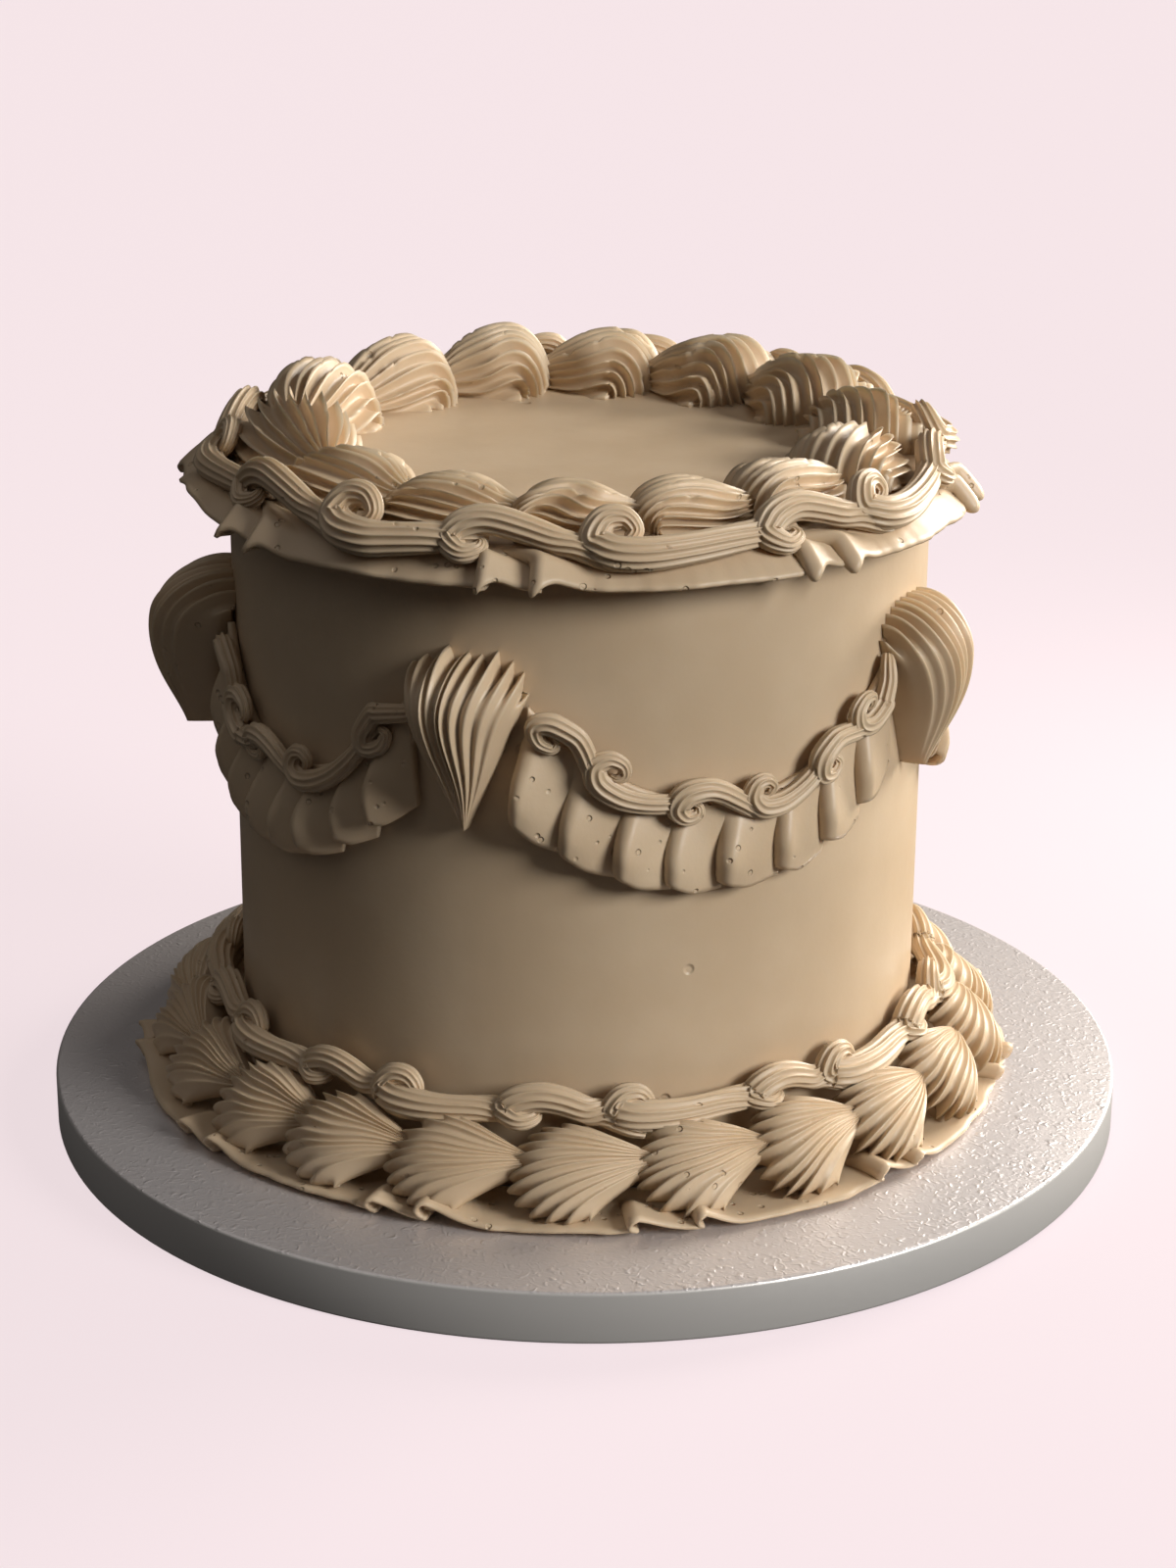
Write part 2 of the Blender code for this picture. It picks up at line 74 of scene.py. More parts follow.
def layOut(name, points, material):   # points[row, column] in metres, laid over a grid
    rows, columns = points.shape[0] - 1, points.shape[1] - 1
    deselectAll()
    bpy.ops.mesh.primitive_grid_add(x_subdivisions=columns, y_subdivisions=rows, size=2)
    piece = bpy.context.active_object
    piece.name = name
    mesh = piece.data
    mesh.name = name
    flat = np.empty(len(mesh.vertices) * 3)
    mesh.vertices.foreach_get("co", flat)
    column = np.rint((flat[0::3] + 1) / 2 * columns).astype(int)
    row = np.rint((flat[1::3] + 1) / 2 * rows).astype(int)
    mesh.vertices.foreach_set("co", points[row, column].ravel())
    mesh.update()
    bpy.ops.object.mode_set(mode="EDIT")
    bpy.ops.mesh.select_all(action="SELECT")
    bpy.ops.mesh.remove_doubles(threshold=0.000005)
    bpy.ops.mesh.normals_make_consistent(inside=False)
    bpy.ops.object.mode_set(mode="OBJECT")
    bpy.ops.object.shade_smooth()
    mesh.materials.clear()
    mesh.materials.append(material)
    return piece


def joinAll(name, parts):
    deselectAll()
    for part in parts:
        part.select_set(True)
    bpy.context.view_layer.objects.active = parts[0]
    if len(parts) > 1:
        bpy.ops.object.join()
    parts[0].name = name
    parts[0].data.name = name
    return parts[0]


def standsFor(piece, node):
    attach(piece, "root")
    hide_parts(node)


# ---- shader helpers

class Wire:   # one socket of a material, so that sums and products read as such
    def __init__(self, paint, socket):
        self.paint, self.socket = paint, socket

    def sum(self, operation, *values):
        return self.paint.add("Math", {"operation": operation}, values)

    def __add__(self, other): return self.sum("ADD", self, other)
    def __radd__(self, other): return self.sum("ADD", other, self)
    def __sub__(self, other): return self.sum("SUBTRACT", self, other)
    def __rsub__(self, other): return self.sum("SUBTRACT", other, self)
    def __mul__(self, other): return self.sum("MULTIPLY", self, other)
    def __rmul__(self, other): return self.sum("MULTIPLY", other, self)

    def between(self, low, high):   # 0 below low, 1 above high, soft between
        values = {"Value": self, "From Min": low, "From Max": high}
        return self.paint.add("MapRange", {"interpolation_type": "SMOOTHSTEP"}, values)


class Paint:   # a material being mixed
    def __init__(self, name):
        self.material = bpy.data.materials.new(name)
        self.material.use_nodes = True
        self.tree = self.material.node_tree
        self.shader = self.tree.nodes["Principled BSDF"]

    def add(self, kind, settings, values, output=0):
        node = self.tree.nodes.new("ShaderNode" + kind)
        for key, value in settings.items():
            setattr(node, key, value)
        pairs = values.items() if isinstance(values, dict) else enumerate(values)
        for key, value in pairs:
            socket = node.inputs[key]
            if isinstance(value, Wire):
                self.tree.links.new(value.socket, socket)
            else:
                socket.default_value = value
        return Wire(self, node.outputs[output])

    def place(self, scale=(1, 1, 1)):   # where on the object, in object coordinates
        spot = self.add("TexCoord", {}, {}, "Object")
        return self.add("Mapping", {}, {"Vector": spot, "Scale": scale})

    def noise(self, spot, scale, detail):
        return self.add("TexNoise", {}, {"Vector": spot, "Scale": scale, "Detail": detail})

    def dots(self, spot, scale, size):   # small round marks, one to a cell, soft at the edge
        cells = self.add("TexVoronoi", {"feature": "F1"}, {"Vector": spot, "Scale": scale, "Randomness": 1.0})
        return 1 - cells.between(*size)

    def blend(self, share, first, second):   # colours
        return self.add("Mix", {"data_type": "RGBA"}, {0: share, 6: first, 7: second}, 2)

    def feed(self, socket, value):
        if isinstance(value, Wire):
            self.tree.links.new(value.socket, self.shader.inputs[socket])
        else:
            self.shader.inputs[socket].default_value = value

    def bump(self, height, strength, distance, normal=None):
        values = {"Height": height, "Strength": strength, "Distance": distance}
        if normal:
            values["Normal"] = normal
        return self.add("Bump", {}, values)


print("mixing the buttercream and foil")

cream = {
    "lit": (0.630, 0.485, 0.330, 1), "deep": (0.588, 0.442, 0.292, 1), "roughness": 0.42, "gloss": 0.42,
    "subsurface": 0.10, "reach": (0.0045, 0.0028, 0.0015),
    "bubbles": 260.0, "bubbleSize": (0.13, 0.21), "nicks": 75.0, "nickSize": (0.07, 0.12),
}


def creamBase(name):
    paint = Paint(name)
    spot = paint.place()
    mottled = paint.noise(spot, 38, 4.0)
    paint.feed("Base Color", paint.blend(mottled.between(0.35, 0.7), cream["deep"], cream["lit"]))
    paint.feed("Roughness", cream["roughness"] + (paint.noise(spot, 300, 2.0) - 0.5) * 0.14)
    paint.feed("Subsurface Weight", cream["subsurface"])
    paint.feed("Subsurface Radius", cream["reach"])
    paint.feed("Subsurface Scale", 1.0)
    paint.feed("Specular IOR Level", cream["gloss"])
    return paint, spot


def pipedCream(name, rarity):   # drawn by a nozzle: fine drag grain and patches of burst bubbles
    paint, spot = creamBase(name)
    grain = paint.noise(spot, 900, 3.0) * 0.5 + paint.noise(spot, 210, 3.0)
    patchy = paint.noise(spot, 60, 2.0).between(rarity, rarity + 0.06)
    pits = paint.dots(spot, cream["bubbles"], cream["bubbleSize"]) * patchy
    normal = paint.bump(grain, 0.35, 0.0002)
    paint.feed("Normal", paint.bump(1 - pits, 1.0, 0.0005, normal))
    return paint.material


def smoothedCream():   # drawn with a scraper: level, with faint streaks and a few nicks
    paint, spot = creamBase("smooth_buttercream_look")
    broad = paint.noise(spot, 14, 3.0)
    streaks = paint.noise(paint.place(scale=(1, 1, 0.25)), 60, 2.0)
    patchy = paint.noise(spot, 33, 1.0).between(0.58, 0.64)
    nicks = paint.dots(spot, cream["nicks"], cream["nickSize"]) * patchy
    normal = paint.bump(broad + streaks * 0.25, 0.5, 0.0016)
    normal = paint.bump(paint.noise(spot, 700, 3.0), 0.14, 0.0002, normal)
    paint.feed("Normal", paint.bump(1 - nicks, 0.7, 0.0006, normal))
    return paint.material


foil = {
    "top": (0.71, 0.665, 0.66, 1), "side": (0.80, 0.77, 0.74, 1), "roughness": 0.40,
    "creases": 560.0, "creaseHeight": 0.0003,
}


def boardFoil():   # embossed with small worm-like creases on top, plain round the edge
    paint = Paint("board_foil_look")
    spot = paint.place()
    height = paint.add("SeparateXYZ", {}, {0: spot}, 2)
    onTop = height.between((boardTop - 0.4) * mm, (boardTop - 0.1) * mm)
    worms = paint.add(
        "TexNoise", {"noise_type": "RIDGED_MULTIFRACTAL"},
        {"Vector": spot, "Scale": foil["creases"], "Detail": 1.0, "Distortion": 0.7},
    )
    fine = paint.noise(spot, 800, 2.0)
    paint.feed("Base Color", paint.blend(onTop, foil["side"], foil["top"]))
    paint.feed("Metallic", 0.45 + onTop * 0.1)
    paint.feed("Roughness", foil["roughness"] + (fine - 0.5) * 0.1)
    paint.feed("Normal", paint.bump(worms * onTop, 0.7, foil["creaseHeight"]))
    return paint.material


pipedLook = pipedCream("piped_buttercream_look", 0.58)
ruffleLook = pipedCream("ruffle_buttercream_look", 0.47)
smoothLook = smoothedCream()
foilLook = boardFoil()


# ---- the board and the cake

print("turning the board and the cake")

boardSize = {"radius": 127.0, "thick": boardTop, "edge": 0.8, "facets": 192}


def makeBoard():
    deselectAll()
    bpy.ops.mesh.primitive_cylinder_add(
        vertices=boardSize["facets"], radius=boardSize["radius"] * mm, depth=boardSize["thick"] * mm,
        location=(0, 0, boardSize["thick"] * mm / 2),
    )
    board = bpy.context.active_object
    board.name = "foil_board"
    bpy.ops.object.transform_apply(location=True, rotation=True, scale=True)
    edge = board.modifiers.new("edge", "BEVEL")
    edge.width = boardSize["edge"] * mm
    edge.segments = 3
    edge.limit_method = "ANGLE"
    bpy.ops.object.modifier_apply(modifier="edge")
    bpy.ops.object.shade_smooth_by_angle(angle=math.radians(50))
    board.data.materials.clear()
    board.data.materials.append(foilLook)
    standsFor(board, "board")


cakeShape = {"columns": 240, "rows": 46, "edge": 3.0, "inset": 0.25, "sag": 0.044}


def makeCake():
    edge = cakeShape["edge"]
    angle = np.linspace(0, 360, cakeShape["columns"] + 1)
    turn = np.radians(angle)
    profile = [(0.0, cakeFoot), (cakeRadius * 0.6, cakeFoot), (cakeRadius, cakeFoot)]   # radius and height
    for share in np.linspace(0, 1, cakeShape["rows"])[1:]:
        profile.append((cakeRadius, cakeFoot + (cakeTop - edge - cakeFoot) * share))
    for bend in np.radians(np.linspace(0, 90, 7)[1:]):
        profile.append((cakeRadius - edge * (1 - math.cos(bend)), cakeTop - edge * (1 - math.sin(bend))))
    for share in np.linspace(1, 0, 12)[1:]:
        profile.append(((cakeRadius - edge) * share, cakeTop))
    points = []
    for radius, height in profile:
        lumpy = cakeShape["sag"] * wobble(3, 1.6 * np.cos(turn), 1.6 * np.sin(turn) + height / 30)
        onWall = min(1.0, radius / 70) ** 6 * (0.0 if height <= cakeFoot else 1.0)
        points.append(aroundCake(angle, radius - (cakeShape["inset"] - lumpy) * onWall, height))
    points = np.array(points)
    points[:, -1] = points[:, 0]
    cake = layOut("iced_cake", points, smoothLook)
    standsFor(cake, "cake")


makeBoard()
makeCake()


# ---- shells

def crestPattern(teeth, perRidge):   # places across a section: close together at each crest
    spread = {6: (0, 0.10, 0.30, 0.5, 0.70, 0.90), 5: (0, 0.12, 0.36, 0.64, 0.88)}[perRidge]
    return np.append(np.concatenate([np.array(spread) + k for k in range(teeth)]), teeth)


def perTooth(tooth, values):   # one value for each ridge, drawn out over the places between
    return np.interp(tooth, range(len(values)), values)


def underneath(x, y, z):   # carries a section on under the shell, straight across to where it began
    x = np.concatenate([x, np.linspace(x[-1], x[0], 5)])
    y = np.concatenate([y, np.linspace(y[-1], y[0], 5)])
    z = np.concatenate([z, np.full(5, -1.0)])
    x[-1], y[-1], z[-1] = x[0], y[0], z[0]
    return np.stack([x, y, np.maximum(z, -0.5)], -1)


def closedShell(name, sections, chart):   # sections from end to end, with each end drawn together
    first, last = (np.tile(section.mean(axis=0), (len(section), 1)) for section in (sections[0], sections[-1]))
    local = np.array([first, *sections, last])
    return layOut(name, chart(local[..., 0], local[..., 1], local[..., 2]), pipedLook)


def pipedShell(name, seed, form, chart):   # its ridges curl over a nose and run back side by side to the tail
    dice = np.random.default_rng(seed)
    teeth = form["ridges"]
    tooth = crestPattern(teeth, 6)
    across = tooth / teeth
    crestShift = dice.uniform(-0.17, 0.17, teeth + 1)
    crestShift[[0, -1]] = 0
    crestHeight = 1 + dice.uniform(-0.04, 0.03, teeth + 1)
    grooveDepth = form["depth"] * (1 + dice.uniform(-0.25, 0.25, teeth + 1))
    groove = np.abs(np.sin(math.pi * tooth)) ** form["sharp"]
    rows = [(turn, 0.0) for turn in np.linspace(form["startTurn"], 90, form["headRows"])]
    rows += [(90.0, share) for share in np.linspace(0, 1, form["tailRows"] + 1)[1:]]
    sections = []
    for k, (turn, share) in enumerate(rows):
        wrap = form["wrap"] * smooth(share / 0.7)
        sway = form["sway"] * wobble(seed + 5, tooth * 0.3, k * 0.13 + 0 * tooth, 1.3) * np.sin(math.pi * across)
        along = tooth + perTooth(tooth, crestShift) + sway
        phi = np.radians(-wrap + (180 + 2 * wrap) * along / teeth)
        depth = perTooth(tooth, grooveDepth) * (1 + form["deepen"] * share)
        nick = np.clip(wobble(seed + 9, tooth * 1.7, k * 0.55 + 0 * tooth, 1.5) - 0.62, 0, 1) * form["nicks"]
        size = perTooth(tooth, crestHeight) - depth * groove - nick * (1 - groove)
        lift = form["lift"][0] + (form["lift"][1] - form["lift"][0]) * smooth(share)
        eye = -form["eyeAhead"] * np.maximum(0, np.cos(phi)) ** 1.4
        y = form["halfWidth"] * form["width"](share) * size * np.cos(phi)
        if share == 0:   # over the nose
            bend = math.radians(turn)
            reach = 1 / math.hypot(math.cos(bend) / form["nose"], math.sin(bend) / form["tall"])
            out = reach * size * np.sin(phi)
            x = eye - out * math.cos(bend) * (1 + eye / form["nose"])
            z = lift + out * math.sin(bend)
        else:
            x = eye + (form["tail"] - eye) * share
            z = lift + form["tall"] * form["height"](share) * size * np.sin(phi)
        sections.append(underneath(x, y, z))
    return closedShell(name, sections, chart)


def fannedShell(name, seed, form, chart):   # its ridges spread out from the tail to a toothed edge
    dice = np.random.default_rng(seed)
    teeth, opening = form["ridges"], math.radians(form["opening"])
    tooth = crestPattern(teeth, 6)
    crestShift = dice.uniform(-0.2, 0.2, teeth + 1)
    crestShift[[0, -1]] = 0
    along = (tooth + perTooth(tooth, crestShift)) / teeth
    crest = 1 + perTooth(tooth, dice.uniform(-0.05, 0.04, teeth + 1))
    deep = perTooth(tooth, form["depth"] * (1 + dice.uniform(-0.25, 0.25, teeth + 1)))
    spike = perTooth(tooth, dice.uniform(0, form["spike"], teeth + 1))
    scooped = np.abs(np.sin(math.pi * tooth)) ** form["sharp"]   # wide grooves between sharp crests
    creased = 1 - np.abs(np.cos(math.pi * tooth))   # narrow grooves between round ones
    groove = (1 - form["round"]) * scooped + form["round"] * creased
    ray = opening * (1 - 2 * along)
    reach = form["length"] * (1 - form["droop"] * np.abs(1 - 2 * along) ** form["square"])
    shoulder = (1 - np.abs(1 - 2 * along) ** form["plump"]) ** 0.5
    crown, low = form["crown"], form["tailTall"]
    rows = []   # how far from the tail, how tall, and how much of the toothed head
    for v in np.linspace(0.03, 1, form["tailRows"]):
        rows.append((crown * v, low + (1 - low) * math.sin(math.pi / 2 * v) ** 1.2, 0.0))
    for turn in np.radians(np.linspace(90, form["endTurn"], form["headRows"])[1:]):
        rows.append((crown + (1 - crown) * math.cos(turn), math.sin(turn), math.cos(turn) ** 2))
    sections = []
    for far, tall, head in rows:
        sway = form["sway"] * wobble(seed + 5, tooth * 0.35, far * 4 + 0 * tooth, 1.2) * np.sin(math.pi * along) / teeth
        swirl = form["swirl"] * math.sin(2 * math.pi * far) * shoulder
        bent = ray + form["bend"] * (1 - along) * far ** 3 + 2 * opening * sway + swirl
        size = crest - deep * groove * (0.55 + 0.45 * far)
        out = reach * (far * (1 - deep * groove * head * form["cut"]) + spike * (1 - groove) ** 2 * head)
        x = form["tail"] - out * np.cos(bent)
        y = form["lean"] * (1 - far) + out * np.sin(bent)
        z = form["lift"] * far + form["stand"] * (1 - far) * shoulder + form["tall"] * tall * shoulder * size
        sections.append(underneath(x, y, z))
    return closedShell(name, sections, chart)


print("piping the top shells")

topShell = {   # each shell's eye and height
    "shells": (
        (-51, 9.6), (-25.5, 8.8), (-2.5, 8.6), (19.5, 8.5), (42, 9.2), (67, 11.5), (95, 12.9),
        (122, 14.3), (148, 14.6), (173, 14.0), (197, 15.2), (221, 15.0), (249, 15.4), (279, 15.4),
    ),
    "ring": 64.2, "halfWidth": 14.8, "nose": 11.5, "ridges": 13, "depth": 0.24, "sharp": 0.8,
    "lift": (1.0, 0.4), "wrap": 14, "startTurn": -72, "headRows": 26, "tailRows": 26, "eyeAhead": 7.5,
    "sway": 0.5, "nicks": 0.16,
    "width": lambda s: 0.5 + 0.5 * math.cos(math.pi * s ** 1.25 * 0.70),
    "height": lambda s: 0.42 + 0.58 * math.cos(math.pi / 2 * s ** 1.15),
    "deepen": 0.35,
}


def makeTopShells():
    shells = topShell["shells"]
    for k, (angle, tall) in enumerate(shells):
        following = shells[k + 1][0] if k + 1 < len(shells) else shells[0][0] + 360
        pitch = math.radians(following - angle) * topShell["ring"]
        form = dict(topShell, tail=pitch - topShell["nose"] + 3.5, tall=tall - 0.45)

        def chart(x, y, z, angle=angle):
            return aroundCake(angle + np.degrees(x / topShell["ring"]), topShell["ring"] + y, cakeTop + z)

        shell = pipedShell(f"rim_shell_{k + 1:02d}", 100 + k, form, chart)
        standsFor(shell, f"top_shell_{k + 1:02d}")


makeTopShells()


print("piping the base shells")

baseShell = {
    "count": 22, "first": -2.0, "inner": (81.2, 18.0), "outer": (100.2, 1.2), "ring": 89.5,
    "length": 33.0, "opening": 30.5, "droop": 0.38, "square": 2.3, "nose": 10.6,
    "tall": 7.6, "lift": 1.8, "tailTall": 0.42, "crown": 0.62, "plump": 2.6, "lean": -1.6, "stand": 0,
    "ridges": 12, "depth": 0.19, "sharp": 0.75, "round": 0.35, "cut": 0.6, "spike": 0.02,
    "sway": 0.5, "bend": 0.10, "swirl": 0.0, "endTurn": -34, "headRows": 26, "tailRows": 24,
}


def makeBaseShells():
    dice = np.random.default_rng(7)
    pitch = 360 / baseShell["count"]
    starts = [baseShell["first"] + k * pitch + dice.uniform(-0.7, 0.7) for k in range(baseShell["count"])]
    form = dict(baseShell, tail=baseShell["length"] - baseShell["nose"])
    inner, outer = np.array(baseShell["inner"]), np.array(baseShell["outer"])
    middle = (inner + outer) / 2
    spread = (outer - inner) / np.hypot(*(outer - inner))
    away = np.array([-spread[1], spread[0]])
    for k, start in enumerate(starts):

        def chart(x, y, z, start=start):   # clear of the cake's wall and of the foot ruffle
            radius = np.maximum(middle[0] + spread[0] * y + away[0] * z, cakeRadius - 0.4)
            height = boardTop + np.maximum(middle[1] + spread[1] * y + away[1] * z, 1.2)
            return aroundCake(start + np.degrees(x / baseShell["ring"]), radius, height)

        shell = fannedShell(f"foot_shell_{k + 1:02d}", 300 + k, form, chart)
        standsFor(shell, f"base_shell_{k + 1:02d}")


makeBaseShells()


print("piping the drop shells")

dropShell = {
    "angles": (-84, -16.5, 65, 135, 206), "eye": boardTop + 109.0,
    "heights": (14.6, 12.6, 12.2, 13.0, 13.0), "stands": (10, 3, 5, 3, 3),   # stands: how far each tail is off the wall
    "length": 38.6, "opening": 23, "droop": 0.12, "square": 4.0, "tail": 25.6,
    "lift": 1.2, "tailTall": 0.06, "crown": 0.72, "plump": 3.0, "lean": 0.0,
    "ridges": 11, "depth": 0.18, "sharp": 0.8, "round": 0.8, "cut": 0.5, "spike": 0.06,
    "sway": 0.8, "bend": 0.0, "swirl": 0.03, "endTurn": -10, "headRows": 34, "tailRows": 44,
}


def makeDropShells():
    for k, angle in enumerate(dropShell["angles"]):

        def chart(x, y, z, angle=angle):
            return aroundCake(angle + np.degrees(y / cakeRadius), cakeRadius + z, dropShell["eye"] - x)

        form = dict(dropShell, tall=dropShell["heights"][k], stand=dropShell["stands"][k])
        shell = fannedShell(f"hanging_shell_{k + 1}", 500 + k, form, chart)
        standsFor(shell, f"drop_shell_{k + 1}")


makeDropShells()


# ---- scrolls: strokes from a star nozzle, each a curl and then a rope

def softCurve(points, t):   # passes softly through each point
    points = np.array(points, float)
    padded = np.vstack([2 * points[0] - points[1], points, 2 * points[-1] - points[-2]])
    place = t * (len(points) - 1)
    k = np.minimum(place.astype(int), len(points) - 2)
    f = (place - k)[:, None]
    a, b, c, d = padded[k], padded[k + 1], padded[k + 2], padded[k + 3]
    return 0.5 * (2 * b + (c - a) * f + (2 * a - 5 * b + 4 * c - d) * f**2 + (3 * b - a - 3 * c + d) * f**3)


strokeCourse = {   # along, up and half width: round the hook in millimetres, then along the run by its share
    "rising": {
        "hook": (
            (-0.6, 0.6, 0.7), (0.8, 0.8, 1.4), (1.9, 2.6, 1.8), (0.2, 4.6, 2.2),
            (-2.9, 4.2, 2.7), (-4.4, 1.0, 3.2), (-2.2, -2.2, 3.5), (2.6, -3.1, 3.5),
        ),
        "run": ((0.36, -2.7, 3.2), (0.66, -0.9, 2.9), (0.92, 1.2, 2.5), (1.08, 1.6, 1.8)),
    },
    "falling": {
        "hook": (
            (-0.4, 0.0, 0.7), (0.8, -0.5, 1.3), (0.8, -2.3, 1.8), (-1.7, -3.3, 2.3),
            (-4.1, -1.0, 3.1), (-2.7, 2.4, 3.4), (1.8, 3.9, 3.2),
        ),
        "run": ((0.34, 3.2, 3.0), (0.6, 0.3, 2.8), (0.88, -3.4, 2.4), (1.06, -4.4, 1.7)),
    },
}


def pipedStroke(name, seed, stroke, start, length, rising, chart):
    dice = np.random.default_rng(seed)
    size = stroke["size"] * dice.uniform(0.93, 1.07)
    course = strokeCourse["rising" if rising else "falling"]
    hook = [np.array(point) * (size * stroke["curl"], size * stroke["curl"], size) for point in course["hook"]]
    run = [(share * length, up * size, half * size) for share, up, half in course["run"]]
    t = np.linspace(0, 1, stroke["rows"])
    along, up, half = softCurve(hook + run, t).T
    half = half * (1 + 0.03 * wobble(seed, t * 9, 0 * t))
    off = stroke["foot"] + half * 0.86 + stroke["over"] * (1 - smooth(t / 0.5))   # the hook lies over the last tail
    off = off - stroke["tuck"] * smooth((t - 0.8) / 0.2)
    centre = chart(start, along, up, off)
    above = chart(start, along, up, off + 1.0)
    forward = np.gradient(centre, axis=0)
    forward /= np.linalg.norm(forward, axis=1)[:, None]
    outward = above - centre
    side = np.cross(forward, outward)
    side /= np.linalg.norm(side, axis=1)[:, None]
    outward = np.cross(side, forward)
    teeth = stroke["ridges"]
    tooth = crestPattern(teeth, 5)
    theta = 2 * math.pi * tooth / teeth
    groove = np.abs(np.sin(math.pi * tooth)) ** 0.85
    crest = 1 + perTooth(tooth, np.append(dice.uniform(-0.04, 0.04, teeth), 0.0))
    crest[-1] = crest[0]
    n = np.arange(len(along))[:, None]
    uneven = wobble(seed + 3, np.cos(theta) * 1.5 + n * 0.05, np.sin(theta) * 1.5 + n * 0.08)
    section = crest - stroke["depth"] * groove + 0.02 * uneven
    radius = half[:, None] * np.where(n < 9, 1 - (1 - section) * (1.9 - 0.1 * n), section)   # deeper at the start
    points = centre[:, None, :] + mm * radius[..., None] * (
        np.cos(theta)[None, :, None] * side[:, None, :] + np.sin(theta)[None, :, None] * outward[:, None, :] * 0.93
    )
    points[:, -1] = points[:, 0]
    first, last = (np.tile(end, (1, len(tooth), 1)) for end in (centre[0], centre[-1]))
    return layOut(name, np.concatenate([first, points, last]), pipedLook)


def pipeRope(name, node, seed, stroke, angles, ring, chart):   # strokes in turn, each up to the next one's start
    strokes = []
    for k, (angle, following) in enumerate(zip(angles, angles[1:])):
        length = math.radians(following - angle) * ring
        strokes.append(pipedStroke(f"{name}_{k + 1:02d}", seed + k, stroke, angle, length, k % 2 == 1, chart))
    standsFor(joinAll(name, strokes), node)


def cornerBand(stroke):   # the corner that a rope lies in: it leans one way below its line and another above
    below, above = np.radians(stroke["leans"])
    steps, softness = 10, 1.6

    def lean(up):
        return below + (above - below) * (0.5 + 0.5 * np.tanh(up / softness))

    def chart(start, along, up, off):
        angle = start + np.degrees(along / stroke["ring"])
        aside = stroke["inward"] * np.minimum(1 - np.cos(np.radians(angle)), 1)   # drawn in at the sides and back
        radius, height = stroke["ring"] - aside, stroke["height"] + 0.5 * aside
        for k in range(steps):
            slope = lean(up * (k + 0.5) / steps)
            radius = radius - np.sin(slope) * up / steps
            height = height + np.cos(slope) * up / steps
        return aroundCake(angle, radius + np.cos(lean(up)) * off, height + np.sin(lean(up)) * off)

    return chart


topScroll = {
    "angles": (-57, -33, -14.5, 6.4, 31.5, 50.5, 76, 96, 121, 142, 167, 188, 212, 233, 257, 279),
    "ring": 82.0, "height": cakeTop - 0.3, "leans": (56, 23), "inward": 3.0,
    "size": 1.1, "curl": 1.2, "ridges": 12, "depth": 0.25, "foot": -0.6, "over": 1.2, "tuck": 1.4, "rows": 96,
}
baseScroll = {
    "angles": (
        -76, -60, -41.3, -26, -6.7, 9.3, 30.6, 44.9, 66, 82, 102, 118, 138, 154, 174, 190, 210, 226, 247, 264,
    ),
    "ring": 82.6, "height": boardTop + 19.6, "leans": (66, 4), "inward": 0.0,
    "size": 1.04, "curl": 1.05, "ridges": 11, "depth": 0.26, "foot": -0.3, "over": 1.2, "tuck": 1.4, "rows": 90,
}


def makeRingScroll(name, node, seed, stroke):
    print("piping the", name)
    angles = [*stroke["angles"], stroke["angles"][0] + 360]
    pipeRope(name, node, seed, stroke, angles, stroke["ring"], cornerBand(stroke))


makeRingScroll("rim_scroll", "top_scroll", 700, topScroll)
makeRingScroll("foot_scroll", "base_scroll", 760, baseScroll)


# ---- ruffles: ribbons from a petal nozzle

def ribbon(middle, q, thick):   # middle[row across, column along] in metres, q 0 at the root and 1 at the margin
    whole, thinned = thick   # at the root, and how much less at the margin
    down = np.gradient(middle, axis=0)
    on = np.gradient(middle, axis=1)
    on[:, 0] = on[:, -1] = (on[:, 0] + on[:, -1]) / 2 if np.allclose(middle[:, 0], middle[:, -1]) else on[:, 0]
    out = np.cross(down, on)
    out /= np.linalg.norm(out, axis=2)[..., None] + 1e-12
    across = (whole - thinned * q) * np.where(q > 0.97, 0.55, 1)
    offset = out * (across * mm / 2)[:, None, None]
    return np.concatenate([middle + offset, (middle - offset)[::-1], (middle + offset)[:1]])


def pipeRuffle(name, node, rows, q, thick):   # all the way round, its last column laid on its first
    middle = np.array(rows)
    middle[:, -1] = middle[:, 0]
    points = ribbon(middle, q, thick)
    points[:, -1] = points[:, 0]
    standsFor(layOut(name, points, ruffleLook), node)


def foldPath(tau, lay, round, fall):   # a ribbon's path: round a rolled edge that laps back, then sloping down
    rolled = np.clip(tau / round, 0, 1)
    slope = np.clip((tau - round) / (1 - round), 0, 1)
    x = np.where(tau < round, -lay * np.sin(math.pi * rolled), slope)
    lifted = np.where(tau < round, 0.5 - 0.5 * np.cos(math.pi * rolled), (1 - slope) ** fall)
    return x - tau, lifted


def pairedFolds(seed, form):   # where each fold of a ruffle starts, how wide it is and how high it rolls
    dice = np.random.default_rng(seed)
    stray, width, rise = form["uneven"]
    folds = []
    for start in form["pairs"]:
        for side in (0, 1):
            place = start + side * form["apart"] + dice.uniform(-stray, stray)
            folds.append((place, form["fold"] * dice.uniform(*width), form["rise"] * dice.uniform(*rise)))
    return folds


